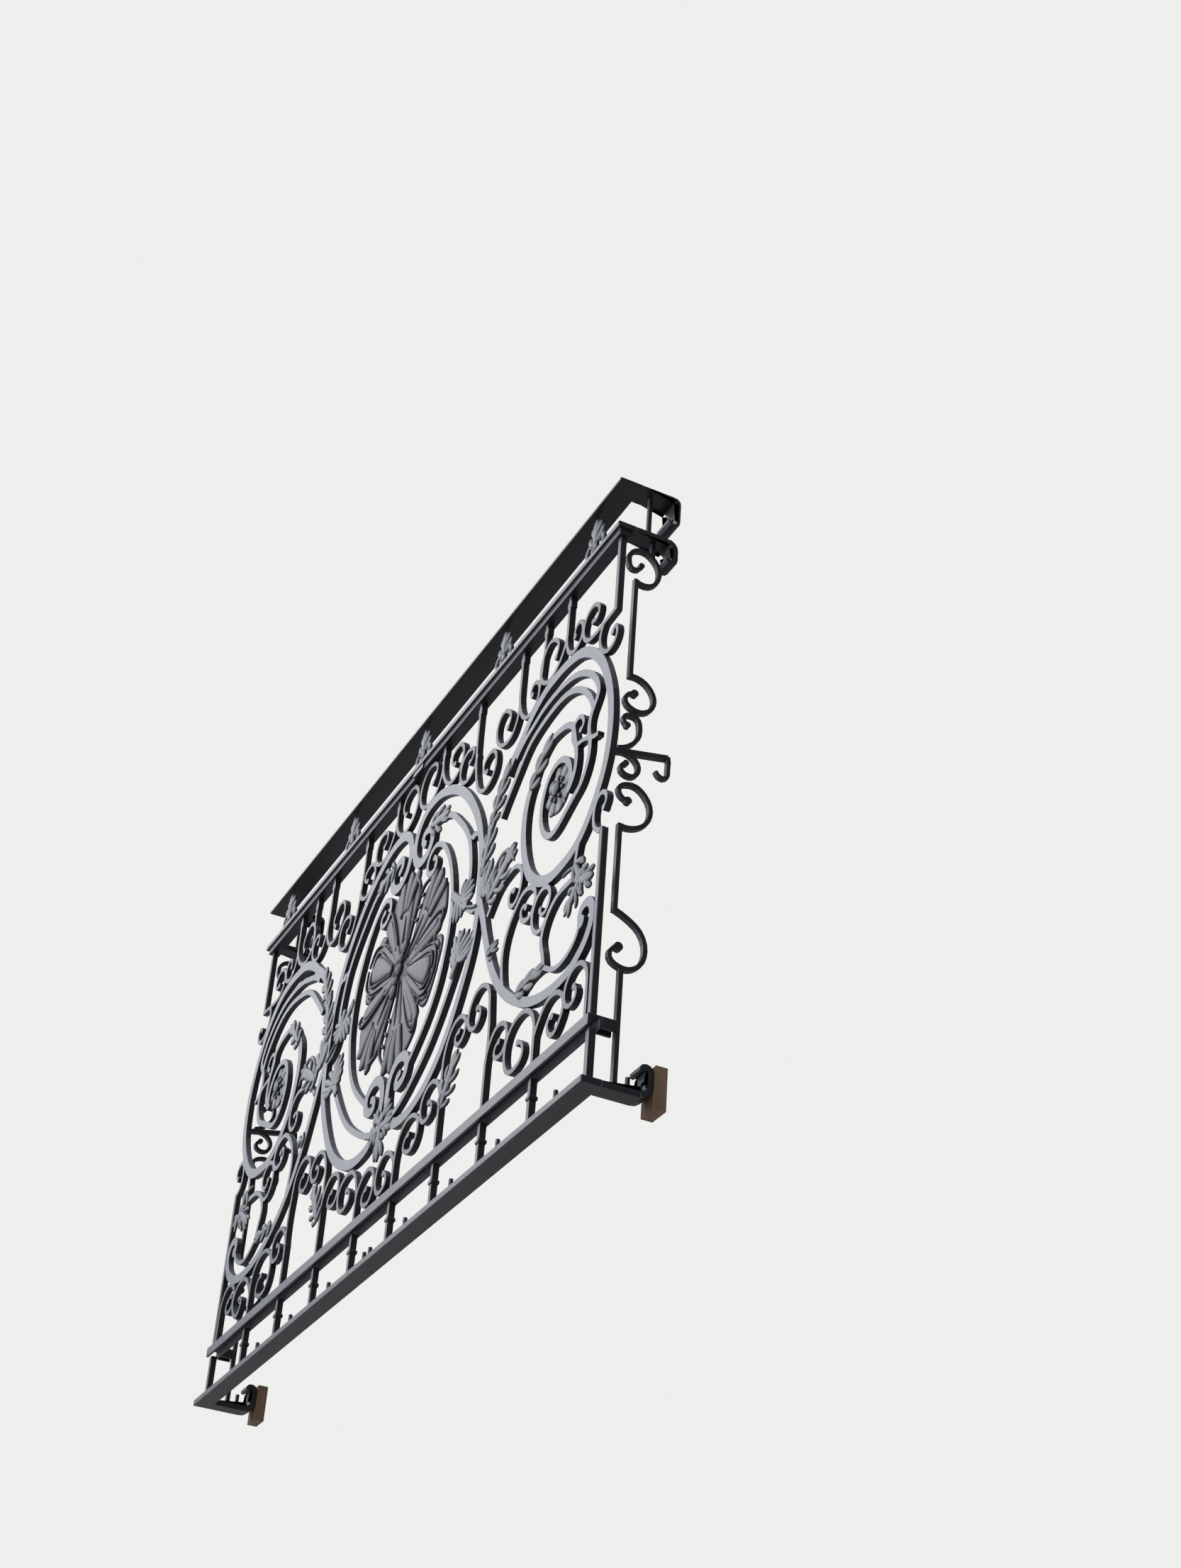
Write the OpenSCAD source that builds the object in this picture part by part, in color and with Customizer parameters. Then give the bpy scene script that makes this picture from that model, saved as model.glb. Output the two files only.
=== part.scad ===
// Wrought iron window balcony: a flat-bar cage that stands off a wall, with a scrollwork front.
// X runs along the wall, Y from the front (0) back to the wall, Z up from the bottom frame's underside.

/* [Overall] */
// Width over the outer edges of the bottom frame and the handrail
overall_w = 1820; // [1700:10:1900]
// Distance from the front edge to the wall
reach = 125; // [120:1:140]
// Height from the bottom frame's underside to the handrail's top
overall_h = 1213; // [1205:1:1240]

/* [Bottom frame] */
// Width of the bottom frame's flat bar
frame_w = 36; // [30:1:45]
// Thickness of the bottom frame's flat bar
frame_t = 12; // [8:1:14]
// Height of the lug that is bent up against the wall
frame_lug_h = 48; // [40:1:60]

/* [Lower rail] */
// Height of the lower rail's top above the frame's underside
lower_rail_z = 125; // [120:1:128]
// Height of the lower rail's channel
lower_rail_h = 20; // [16:1:24]
// Depth of the lower rail's channel
lower_rail_w = 26; // [22:1:30]
// Wall of the lower rail's channel
lower_rail_wall = 5; // [3:0.5:6]

/* [Upper rail] */
// Width of the upper rail's flat bar
upper_rail_w = 37; // [32:1:44]
// Thickness of the upper rail's flat bar
upper_rail_t = 11; // [8:1:13]
// Width of the bar under the upper rail
fillet_bar_w = 25; // [20:1:28]
// Thickness of the bar under the upper rail
fillet_bar_t = 12; // [8:1:14]
// Length of the upper rail's lugs
rail_lug_drop = 46; // [44:1:52]

/* [Handrail] */
// Width of the handrail's flat bar
handrail_w = 46; // [40:1:52]
// Thickness of the handrail's flat bar
handrail_t = 6; // [5:0.5:8]
// Length of the handrail's lugs, bent down against the wall
lug_drop = 62; // [50:1:80]
// Largest radius of the curl at a lug's end
lug_curl_r = 10; // [8:0.5:12]
// Diameter of the screw holes in the lugs
screw_d = 9; // [6:0.5:11]

/* [Panel] */
// Distance from the frame's outer edges in to the middle of the panels
edge_in = 22; // [20:1:25]
// Depth of the panel's bars from front to back
bar_d = 12; // [10:1:14]
// Face width of the panel's vertical bars
bar_w = 10; // [8:0.5:12]
// Face width of the small scrolls
scroll_w = 9; // [7:0.5:11]
// Face width of the big rings
ring_w = 21; // [16:1:24]
// Face width of the second rings inside them
inner_ring_w = 13; // [10:1:15]
// Width of the middle bay between the lower vertical bars
middle_bay = 183; // [175:1:190]
// Distance between the other lower vertical bars
bar_pitch = 196.5; // [190:0.5:200]
// Width of the corner posts
post_w = 12; // [10:1:14]
// Radius of the small fillets where bars run into each other
weld_r = 1.5; // [0.5:0.5:3]

/* [Side] */
// Face width of the side scrolls
side_scroll_w = 8; // [6:0.5:10]
// Thickness of the side panel
side_t = 10; // [8:1:12]
// How much further back than the rails the middle bar runs to the wall
mid_bar_extra = 12; // [0:1:20]
// Distance from the front edge to the strut between the rails
strut_y = 68; // [60:1:80]
// Length of the lower rail's returns
lower_return_l = 27; // [20:1:40]

/* [Castings] */
// Diameter of the rosette over its palmettes
rosette_d = 455; // [430:5:460]
// Thickness of the rosette's petals
petal_t = 5; // [4:0.5:7]
// Diameter of the rosette's boss
boss_d = 48; // [36:1:52]
// How far the boss stands in front of the petals
boss_rise = 5; // [2:0.5:6]
// Thickness of the leaves
leaf_t = 4; // [3:0.5:6]
// Diameter of the flower in each oval
flower_d = 108; // [100:1:112]
// Height of the florets, which is the gap between the upper rail and the handrail
floret_h = 92; // [85:1:98]
// Width of the florets between the rails
floret_w = 78; // [70:1:84]
// Spacing of the florets between the rails
floret_pitch = 395; // [380:5:400]

/* [Packers] */
// Width of the wooden packers behind the bottom lugs
packer_w = 45; // [40:1:60]
// Thickness of the wooden packers
packer_t = 21; // [15:1:30]
// Height of the wooden packers
packer_h = 75; // [60:1:90]

/* [Hidden] */
$fn = 48;

half_w = overall_w / 2;
handrail_z = overall_h - handrail_t;
upper_rail_z = handrail_z - floret_h;
upper_rail_under = upper_rail_z - upper_rail_t;
panel_top = upper_rail_under - fillet_bar_t;
panel_y = edge_in - bar_d / 2;
panel_back = panel_y + bar_d;
// Middle of the right side panel and of the corner posts
side_x = half_w - edge_in;
lower_rail_under = lower_rail_z - lower_rail_h;
// Heights of the screw holes, in the middle of each lug's flat stretch
frame_hole_z = 31;
rail_hole_z = upper_rail_z - 32;
handrail_hole_z = handrail_z - 31;
// Height of the packers' underside
packer_z = -15;
// The point that the part is set out from: the middle of the right packer's back
hold_point = [half_w - frame_w / 2, reach + packer_t, packer_z + packer_h / 2];
// The spread of a drawn curve from the true one
sagitta = 0.35;

// The scrollwork is drawn for one set of sizes and fitted to the sizes above
drawn_side_x = 888;
drawn_low = 125;
drawn_back = 28;
drawn_reach = 125;
drawn_top = 1092;
drawn_h = drawn_top - drawn_low;
function fitted_z(z) = lower_rail_z + (z - drawn_low) * (panel_top - lower_rail_z) / drawn_h;
function fitted(p) = [p[0] * side_x / drawn_side_x, fitted_z(p[1])];
function side_fitted(p) =
    [panel_back + (p[0] - drawn_back) * (reach - panel_back) / (drawn_reach - drawn_back), fitted_z(p[1])];

// Geometry of smooth bars

function unit(v) = v / norm(v);
function left_of(v) = [-v[1], v[0]];
// The tangent at b of the circle through a, b and c
function arc_tangent(a, b, c) =
    let (p = b - a, q = c - b)
    unit(p / (p * p) + q / (q * q));
// The tangent at the other end of chord ab, where the arc's tangent at b is t
function end_tangent(a, b, t) = let (c = unit(b - a)) 2 * (c * t) * c - t;
function tangents(p) =
    let (n = len(p) - 1)
    let (inner = [for (i = [1 : 1 : n - 1]) arc_tangent(p[i - 1], p[i], p[i + 1])])
    concat([end_tangent(p[0], p[1], inner[0])], inner, [end_tangent(p[n - 1], p[n], inner[n - 2])]);
// Length of the end tangent that makes a span follow its arc
function reach_of(chord, t) = 2 * norm(chord) / (1 + max(0, unit(chord) * t));
function turn_of(s, t) = acos(max(-1, min(1, s * t)));
// Steps that keep a span within the sagitta of its arc
function steps(chord, s, t) =
    let (turn = turn_of(s, t), r = norm(chord) / max(0.02, 2 * sin(turn / 2)))
    max(1, ceil(turn / (2 * acos(1 - min(0.5, sagitta / r)))));
function hermite(a, b, m, n, u) =
    a * (2 * u * u * u - 3 * u * u + 1) + b * (3 * u * u - 2 * u * u * u)
    + m * (u * u * u - 2 * u * u + u) + n * (u * u * u - u * u);
function span(a, b, s, t) =
    let (c = b - a, n = steps(c, s, t), m = s * reach_of(c, s), k = t * reach_of(c, t))
    [for (i = [0 : n - 1]) hermite(a, b, m, k, i / n)];
// A curve through the given points that is a true arc wherever they lie on a circle
function smooth(p) =
    let (t = tangents(p))
    concat([for (i = [0 : len(p) - 2]) each span(p[i], p[i + 1], t[i], t[i + 1])], [p[len(p) - 1]]);
function side_at(c, i) =
    let (n = len(c) - 1)
    left_of(unit(c[min(n, i + 1)] - c[max(0, i - 1)]));

// A flat outline of a bar w wide along the smooth curve through points p, drawn out to w_end
module ribbon(p, w, w_end) {
    c = smooth(p);
    n = len(c) - 1;
    // The last quarter of the bar is drawn down to its end width
    half = [for (i = [0 : n]) let (u = max(0, (i / n - 0.75) / 0.25)) (w + (w_end - w) * u) / 2];
    polygon(concat(
        [for (i = [0 : n]) c[i] + half[i] * side_at(c, i)],
        [for (i = [n : -1 : 0]) c[i] - half[i] * side_at(c, i)]));
}

// A straight bar between two points
module straight(a, b, w) {
    d = left_of(unit(b - a)) * w / 2;
    polygon([a + d, b + d, b - d, a - d]);
}

// A bent bar of the front panel
module bent_bar(p, w) {
    ribbon([for (q = p) fitted(q)], w, w);
}

// A bent bar that ends in a rolled eye at its last point
module scroll(p, w = scroll_w, eye_r = scroll_w * 0.7) {
    ribbon([for (q = p) fitted(q)], w, w * 0.75);
    translate(fitted(p[len(p) - 1]))
        circle(r = eye_r);
}

module rod(a, b, w = scroll_w) {
    straight(fitted(a), fitted(b), w);
}

// The same for the side panels
module side_scroll(p, eye_r = side_scroll_w * 0.7) {
    ribbon([for (q = p) side_fitted(q)], side_scroll_w, side_scroll_w * 0.75);
    translate(side_fitted(p[len(p) - 1]))
        circle(r = eye_r);
}

// Small fillets in every corner of an outline; its bars keep at least their core
module welded(core = 0.3) {
    offset(r = -weld_r, $fn = 16)
        offset(delta = weld_r)
            children();
    offset(delta = -core)
        children();
}

// Forge-welds two bars of the front that lie side by side, across their middle lines
module tie(a, b) {
    rod(a, b, scroll_w / 3);
}

// Stands an outline drawn in X and Z upright, with its front face at y
module upright(y = panel_y, d = bar_d) {
    translate([0, y + d, 0])
        rotate([90, 0, 0])
            linear_extrude(d)
                children();
}

// Stands an outline drawn in Y and Z upright on the right side, from x on
module sideways(x, d) {
    translate([x, 0, 0])
        rotate([90, 0, 90])
            linear_extrude(d)
                children();
}

// Every piece is set out from the right packer's back and painted
module piece(paint) {
    color(paint)
        translate(-hold_point)
            children();
}

module left_hand() {
    mirror([1, 0, 0])
        children();
}

// Flat bars, rails and their returns

// A flat bar return whose end is bent up or down as a lug and curled forward, drawn in Y and Z
module return_outline(y0, z0, t, drop, s) {
    wall_y = reach - t / 2;
    bend = t + 4;
    curl = min(lug_curl_r, drop / 6);
    straight([y0, z0], [wall_y - bend, z0], t);
    ribbon([
        [wall_y - bend, z0],
        [wall_y - bend + bend * sin(45), z0 + s * bend * (1 - cos(45))],
        [wall_y, z0 + s * bend]], t, t);
    straight([wall_y, z0 + s * bend], [wall_y, z0 + s * (drop - curl)], t);
    ribbon([
        [wall_y, z0 + s * (drop - curl)],
        [wall_y - curl, z0 + s * drop],
        [wall_y - 2 * curl, z0 + s * (drop - curl)]], t, t * 0.6);
}

// The return between x0 and x1, with the screw hole through its lug
module return_bar(x0, x1, y0, z0, t, drop, s, hole_z) {
    difference() {
        sideways(x0, x1 - x0)
            return_outline(y0, z0, t, drop, s);
        translate([(x0 + x1) / 2, reach - 1.5 * t, hole_z])
            rotate([-90, 0, 0])
                cylinder(d = screw_d, h = 2 * t);
    }
}

module bottom_frame_front() {
    piece("#26282b")
        translate([-half_w, 0, 0])
            cube([overall_w, frame_w, frame_t]);
}

module bottom_frame_return() {
    return_bar(half_w - frame_w, half_w, frame_w, frame_t / 2, frame_t, frame_lug_h, 1, frame_hole_z);
}

module bottom_frame_right() {
    piece("#26282b") bottom_frame_return();
}

module bottom_frame_left() {
    piece("#26282b") left_hand() bottom_frame_return();
}

module packer() {
    difference() {
        translate([half_w - frame_w / 2 - packer_w / 2, reach, packer_z])
            cube([packer_w, packer_t, packer_h]);
        translate([half_w - frame_w / 2, reach - 1, frame_hole_z])
            rotate([-90, 0, 0])
                cylinder(d = screw_d, h = packer_t + 2);
    }
}

module packer_right() {
    piece("#6b4a33") packer();
}

module packer_left() {
    piece("#6b4a33") left_hand() packer();
}

// The lower rail's channel, open below, seen from its end
module channel_outline() {
    difference() {
        translate([-lower_rail_w / 2, lower_rail_under])
            square([lower_rail_w, lower_rail_h]);
        translate([lower_rail_wall - lower_rail_w / 2, lower_rail_under - 1])
            square([lower_rail_w - 2 * lower_rail_wall, lower_rail_h - lower_rail_wall + 1]);
    }
}

module lower_rail_front() {
    piece("#2b2d31")
        sideways(-side_x - lower_rail_w / 2, 2 * side_x + lower_rail_w)
            translate([edge_in, 0])
                channel_outline();
}

module lower_rail_return() {
    upright(edge_in + lower_rail_w / 2, lower_return_l)
        translate([side_x, 0])
            channel_outline();
}

module lower_rail_right() {
    piece("#2b2d31") lower_rail_return();
}

module lower_rail_left() {
    piece("#2b2d31") left_hand() lower_rail_return();
}

// A flat bar with a narrower one under it, spliced at the middle by a small plate
module upper_rail_front() {
    splice_w = 50;
    splice_t = 4;
    fillet_y = edge_in - fillet_bar_w / 2;
    piece("#2b2d31") {
        translate([-side_x - upper_rail_w / 2, edge_in - upper_rail_w / 2, upper_rail_under])
            cube([2 * side_x + upper_rail_w, upper_rail_w, upper_rail_t]);
        translate([-side_x - fillet_bar_w / 2, fillet_y, panel_top])
            cube([2 * side_x + fillet_bar_w, fillet_bar_w, fillet_bar_t]);
        translate([-splice_w / 2, fillet_y - splice_t, panel_top])
            cube([splice_w, splice_t, fillet_bar_t]);
    }
}

module upper_rail_return() {
    return_bar(side_x - upper_rail_w / 2, side_x + upper_rail_w / 2, edge_in + upper_rail_w / 2,
        upper_rail_z - upper_rail_t / 2, upper_rail_t, rail_lug_drop, -1, rail_hole_z);
}

module upper_rail_right() {
    piece("#2b2d31") upper_rail_return();
}

module upper_rail_left() {
    piece("#2b2d31") left_hand() upper_rail_return();
}

module handrail_front() {
    piece("#1d1e21")
        translate([-half_w, 0, handrail_z])
            cube([overall_w, handrail_w, handrail_t]);
}

module handrail_return() {
    return_bar(half_w - handrail_w, half_w, handrail_w, handrail_z + handrail_t / 2,
        handrail_t, lug_drop, -1, handrail_hole_z);
}

module handrail_right() {
    piece("#1d1e21") handrail_return();
}

module handrail_left() {
    piece("#1d1e21") left_hand() handrail_return();
}

module strut() {
    strut_w = 8;
    translate([side_x - strut_w / 2, strut_y, upper_rail_z])
        cube([strut_w, strut_w, floret_h]);
}

module strut_right() {
    piece("#26282b") strut();
}

module strut_left() {
    piece("#26282b") left_hand() strut();
}

// Posts and plain bars

// Heights where the corner post gives way to the oval's band
post_low_end = 474;
post_high_start = 929;

module post_outline() {
    translate([side_x - post_w / 2, lower_rail_z])
        square([post_w, fitted_z(post_low_end) - lower_rail_z]);
    translate([side_x - post_w / 2, fitted_z(post_high_start)])
        square([post_w, panel_top - fitted_z(post_high_start)]);
}

module corner_post() {
    upright() post_outline();
    translate([side_x - post_w / 2, panel_y, frame_t])
        cube([post_w, bar_d, lower_rail_under - frame_t]);
}

module corner_post_right() {
    piece("#2b2d31") corner_post();
}

module corner_post_left() {
    piece("#2b2d31") left_hand() corner_post();
}

// The lower vertical bars, counted from the middle
function bar_x(i) = middle_bay / 2 + i * bar_pitch;

module kick_bars() {
    piece("#2b2d31")
        for (i = [0 : 3], s = [-1, 1])
            translate([s * fitted([bar_x(i), 0])[0] - bar_w / 2, panel_y, frame_t])
                cube([bar_w, bar_d, lower_rail_under - frame_t]);
}

// Scrollwork of the front

// A bar that comes down from the rail with a small collar near its top
module hanger(x, z) {
    rod([x, drawn_top], [x, z]);
    rod([x, 1080], [x, 1066], scroll_w + 6);
}

module top_scroll_outline() {
    welded(weld_r + 1) {
        hanger(119, 1045);
        scroll([[119, 1045], [103, 1002], [64, 984], [6, 1038], [50, 1083], [87, 1053], [70, 1031]]);
        scroll([[119, 1045], [133, 1005], [180, 973], [226, 1008], [197, 1049], [167, 1027], [183, 1012]]);
        scroll([[301, 965], [290, 940], [263, 928], [220, 966], [255, 1002], [281, 982], [264, 969]]);
        hanger(294, 1010);
        scroll([[294, 1010], [299, 950], [311, 897], [331, 863], [357, 852], [402, 890], [366, 930],
            [341, 908], [358, 892]]);
        scroll([[493, 962], [485, 932], [466, 912], [436, 910], [408, 925], [393, 954], [397, 982],
            [418, 995], [441, 984], [455, 962], [443, 945]]);
        hanger(490, 1000);
        scroll([[490, 1000], [494, 965], [505, 938], [524, 918], [548, 912], [571, 924], [581, 948],
            [572, 970], [555, 977], [543, 966], [549, 954]]);
        hanger(592, 1040);
        rod([592, 1045], [583, 950], 7);
        scroll([[690, 1005], [679, 976], [652, 950], [621, 942], [594, 956], [581, 984], [589, 1016],
            [612, 1035], [639, 1026], [654, 1002], [645, 982]]);
        hanger(690, 1000);
        scroll([[690, 1005], [693, 973], [706, 952], [728, 944], [748, 952], [757, 972], [751, 993],
            [737, 1001], [724, 992], [724, 977]]);
        // The corner's scroll and spiral, bent from the foot of the post
        rod([892, 932], [843, 928]);
        scroll([[846, 928], [815, 926], [786, 929], [766, 945], [760, 968], [769, 989], [791, 1000],
            [813, 992], [822, 975], [811, 960], [798, 963]]);
        scroll([[849, 930], [835, 912], [834, 890], [843, 870], [859, 856], [880, 852], [897, 862],
            [901, 879], [891, 891], [883, 884]]);
    }
}

// The scrolls end on the rings and posts they meet
module top_scrolls() {
    upright()
        difference() {
            top_scroll_outline();
            centre_outline();
            oval_outline();
            post_outline();
        }
}

module top_scrolls_right() {
    piece("#34373c") top_scrolls();
}

module top_scrolls_left() {
    piece("#34373c") left_hand() top_scrolls();
}

module base_scroll_outline() {
    welded() {
        rod([bar_x(0), drawn_low], [bar_x(0), 170]);
        scroll([[bar_x(0), 165], [86, 190], [70, 207], [38, 217], [5, 180], [32, 143], [58, 165],
            [42, 178]]);
        scroll([[bar_x(0), 165], [96, 200], [115, 236], [150, 249], [195, 212], [160, 177], [133, 203],
            [150, 214]]);
        tie([192.5, 225], [202.5, 228.5]);
        rod([bar_x(1), drawn_low], [bar_x(1), 300]);
        scroll([[bar_x(1), 225], [276, 262], [240, 281], [200, 245], [226, 210], [252, 232], [236, 243]]);
        scroll([[bar_x(1), 295], [300, 337], [328, 364], [360, 363], [379, 341], [366, 314], [343, 313],
            [336, 330], [349, 337]]);
        tie([379, 341], [389, 341.5]);
        rod([bar_x(2), drawn_low], [bar_x(2), 220]);
        scroll([[bar_x(2), 210], [483, 320], [468, 371], [432, 389], [394, 366], [399, 320], [428, 314],
            [442, 337], [426, 349]]);
        scroll([[bar_x(2), 205], [495, 245], [528, 269], [568, 236], [545, 204], [520, 222], [536, 235]]);
        rod([bar_x(3), drawn_low], [bar_x(3), 190]);
        scroll([[bar_x(3), 190], [664, 232], [625, 250], [565, 205], [601, 151], [639, 180], [617, 197]]);
        scroll([[bar_x(3), 180], [699, 205], [719, 223], [747, 229], [776, 218], [789, 195], [777, 166],
            [753, 152], [735, 166], [735, 185], [748, 188]]);
        rod([873, drawn_low], [873, 200]);
        scroll([[873, 195], [864, 226], [846, 241], [823, 244], [800, 231], [790, 205], [800, 183],
            [819, 179], [834, 193], [824, 208]]);
    }
}

module base_scrolls() {
    upright()
        difference() {
            base_scroll_outline();
            centre_outline();
            lyre_outline();
            post_outline();
        }
}

module base_scrolls_right() {
    piece("#34373c") base_scrolls();
}

module base_scrolls_left() {
    piece("#34373c") left_hand() base_scrolls();
}

// The big outer band of the centre: a lyre shape, rolled in at the top and at the bottom
module centre_band() {
    scroll([[377, 640], [371, 710], [345, 785], [300, 853], [245, 910], [180, 952], [100, 975], [38, 960],
        [11, 915], [22, 868], [62, 848], [102, 880], [84, 913], [52, 900], [64, 886]], ring_w, 8);
    scroll([[377, 640], [379, 560], [366, 492], [342, 440], [314, 392], [284, 351], [242, 312], [190, 282],
        [110, 264], [50, 278], [14, 340], [27, 392], [65, 408], [101, 378], [82, 350], [54, 358],
        [68, 372]], ring_w, 8);
}

module centre_rings() {
    bent_bar([[96, 914], [120, 914], [162, 902], [200, 882], [240, 846], [277, 808], [304, 770], [321, 722],
        [328, 675], [324, 640]], inner_ring_w);
    bent_bar([[316, 512], [300, 488], [277, 457], [246, 418], [193, 366], [138, 330], [88, 304], [38, 290]],
        inner_ring_w);
    scroll([[248, 620], [248, 650], [240, 700], [222, 752], [200, 792], [155, 838], [125, 848], [94, 823],
        [112, 790], [141, 803], [127, 820]], inner_ring_w - 1, 7);
    bent_bar([[248, 625], [246, 590], [237, 550], [220, 500], [186, 448], [133, 400], [96, 372]],
        inner_ring_w - 1);
    // A short level link with a knob, and a bent one below the leaf
    bent_bar([[300, 771], [320, 766], [352, 757]], scroll_w);
    translate(fitted([328, 764]))
        circle(d = 18);
    bent_bar([[318, 622], [336, 594], [374, 583]], scroll_w);
}

module centre_outline() {
    welded()
        for (s = [0, 1])
            mirror([s, 0]) {
                centre_band();
                centre_rings();
            }
}

module centre_scrollwork() {
    piece("#3b3e44") upright() centre_outline();
}

// The oval at each end of the panel: a band that winds in to a flower
module oval_rings() {
    bent_bar([[462, 824], [485, 848], [512, 866], [545, 893], [584, 915], [615, 926], [650, 930],
        [687, 931], [722, 927], [755, 919], [786, 903], [818, 877], [848, 842], [872, 798], [890, 750],
        [898, 699], [897, 650], [889, 610], [873, 574], [850, 540], [822, 510], [785, 488], [740, 479],
        [692, 479], [648, 496], [606, 531], [579, 581], [566, 628], [564, 672], [572, 708], [591, 736]],
        ring_w);
    // The second ring bends in at the right and runs on down and round the flower
    bent_bar([[500, 840], [543, 865], [572, 874], [603, 884], [650, 890], [700, 888], [738, 880],
        [770, 866], [800, 846], [824, 822], [839, 798], [842, 778], [833, 764], [821, 750], [814, 732],
        [815, 710], [821, 688], [821, 663], [812, 638], [794, 615], [768, 602], [740, 588], [714, 575],
        [690, 570], [665, 580], [645, 606], [636, 642], [642, 677], [657, 703], [681, 717], [707, 716],
        [730, 702], [746, 678], [750, 650], [741, 628]], inner_ring_w);
    bent_bar([[450, 736], [466, 754], [488, 775], [510, 796], [535, 819], [562, 838], [591, 848],
        [623, 855], [654, 859], [684, 860], [713, 856], [744, 845], [772, 828], [797, 804], [815, 780],
        [823, 762]], inner_ring_w);
    scroll([[852, 687], [838, 689], [812, 701], [790, 709], [767, 713], [752, 728], [746, 749], [754, 766],
        [770, 770], [786, 758], [788, 743], [779, 738]]);
    bent_bar([[655, 790], [674, 790], [700, 787], [726, 779], [744, 766], [753, 746], [760, 722],
        [767, 700], [769, 676], [763, 652], [747, 633]], inner_ring_w);
    // The ring's loose end is tied back through a leaf
    bent_bar([[589, 733], [612, 765], [657, 790]], inner_ring_w);
    // A stem leaves the band for the leaf in the lyre
    bent_bar([[838, 524], [812, 505], [799, 474], [797, 424]], scroll_w + 1);
}

// The oval's long arms end on the band of the centre
module oval_outline() {
    difference() {
        welded() oval_rings();
        centre_outline();
    }
}

module oval_right() {
    piece("#3b3e44") upright() oval_outline();
}

module oval_left() {
    piece("#3b3e44") left_hand() upright() oval_outline();
}

// The lyre below each oval: a deep U with arches and spirals inside it
module lyre_rings() {
    scroll([[378, 620], [393, 575], [412, 537], [427, 499], [445, 460], [465, 419], [490, 381], [523, 342],
        [561, 309], [606, 280], [649, 260], [691, 248], [732, 243], [771, 243], [805, 249], [831, 261],
        [854, 277], [870, 299], [875, 325], [863, 347], [843, 351], [828, 338], [834, 323]],
        ring_w - 2, 12);
    bent_bar([[604, 284], [632, 300], [665, 305], [700, 301], [723, 287], [747, 278], [775, 279],
        [801, 288], [822, 306], [831, 325]], scroll_w);
    bent_bar([[699, 298], [690, 332], [680, 360], [686, 384], [700, 403], [717, 416], [738, 425],
        [766, 427], [798, 428]], inner_ring_w - 2);
    scroll([[533, 336], [521, 375], [518, 417], [533, 457], [560, 486], [588, 503], [614, 501], [637, 484],
        [641, 460], [627, 441], [604, 439], [585, 456], [588, 472], [603, 467]], inner_ring_w - 3);
    scroll([[692, 397], [676, 387], [652, 392], [635, 418], [637, 444], [652, 463], [674, 469], [695, 459],
        [703, 438], [692, 418], [674, 416], [666, 429]]);
    scroll([[430, 534], [448, 552], [469, 569], [511, 581], [548, 580], [571, 559], [574, 532], [562, 507],
        [541, 500], [525, 518], [532, 534], [544, 531]]);
}

module lyre_outline() {
    difference() {
        welded() {
            lyre_rings();
            scroll([[892, 472], [866, 484], [856, 511], [861, 536], [877, 548], [894, 542], [901, 525],
                [892, 514]]);
        }
        centre_outline();
        oval_outline();
        post_outline();
    }
}

module lyre_right() {
    piece("#3b3e44") upright() lyre_outline();
}

module lyre_left() {
    piece("#3b3e44") left_hand() upright() lyre_outline();
}

// Castings

// One edge of a leaf of length l and width w with n lobes, from its root along X
function leaf_edge(l, w, n) = [for (i = [0 : n - 1], k = [0.55, 0.98])
    let (u = (i + k) / n, full = w / 2 * pow(sin(180 * pow(u, 0.8)), 0.7))
    if (u < 0.97) [l * u, k < 0.9 ? full : full * 0.6]];
function turned_back(p) = [for (i = [len(p) - 1 : -1 : 0]) [p[i][0], -p[i][1]]];

// A lobed leaf with its root at the origin, growing along X
module leaf(l, w, n) {
    edge = leaf_edge(l, w, n);
    polygon(smooth(concat([[0, w * 0.1]], edge, [[l, 0]], turned_back(edge), [[0, -w * 0.1]])));
}

module leaf_at(x, z, angle, l, w, n = 3) {
    translate(fitted([x, z]))
        rotate(angle)
            leaf(l, w, n);
}

module leaves_outline() {
    // On the rings of the centre: a spray at the top, a fan between two rings and one below it
    leaf_at(92, 912, -8, 95, 56);
    leaf_at(332, 630, 158, 86, 56);
    leaf_at(316, 634, 50, 60, 44, 2);
    leaf_at(310, 630, 226, 54, 40, 2);
    leaf_at(286, 478, 44, 92, 50);
    leaf_at(330, 528, 172, 60, 44, 2);
    leaf_at(322, 526, -6, 60, 42, 2);
    // Up the side of the centre's band
    leaf_at(392, 640, 78, 130, 56, 4);
    leaf_at(414, 740, 62, 130, 50, 4);
    // At the root of the lyre
    leaf_at(428, 566, 32, 130, 70, 4);
    leaf_at(452, 440, 12, 44, 34, 2);
    // Where the oval's band ends and its core starts
    leaf_at(584, 722, 46, 110, 46, 3);
    // In the lyre and below it
    leaf_at(596, 298, 4, 106, 30, 3);
    leaf_at(800, 452, 300, 66, 44, 2);
    leaf_at(816, 408, -14, 58, 54, 2);
    leaf_at(826, 410, 218, 74, 54, 3);
    leaf_at(300, 205, 60, 110, 66, 4);
}

module leaves_right() {
    piece("#44474d") upright(panel_y - leaf_t, leaf_t) leaves_outline();
}

module leaves_left() {
    piece("#44474d") left_hand() upright(panel_y - leaf_t, leaf_t) leaves_outline();
}

// The casting under the middle of the centre, where the two halves of its band meet
module foot_leaf() {
    piece("#44474d")
        upright(panel_y - leaf_t, leaf_t)
            for (s = [0, 1])
                mirror([s, 0]) {
                    leaf_at(-8, 286, 0, 70, 50, 2);
                    leaf_at(0, 292, 270, 76, 60, 2);
                    leaf_at(-6, 288, 42, 66, 38, 2);
                }
}

// The rosette is cast the same to all four quarters and sits turned in its ring
rosette_z = 628;
rosette_turn = -25;

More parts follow.
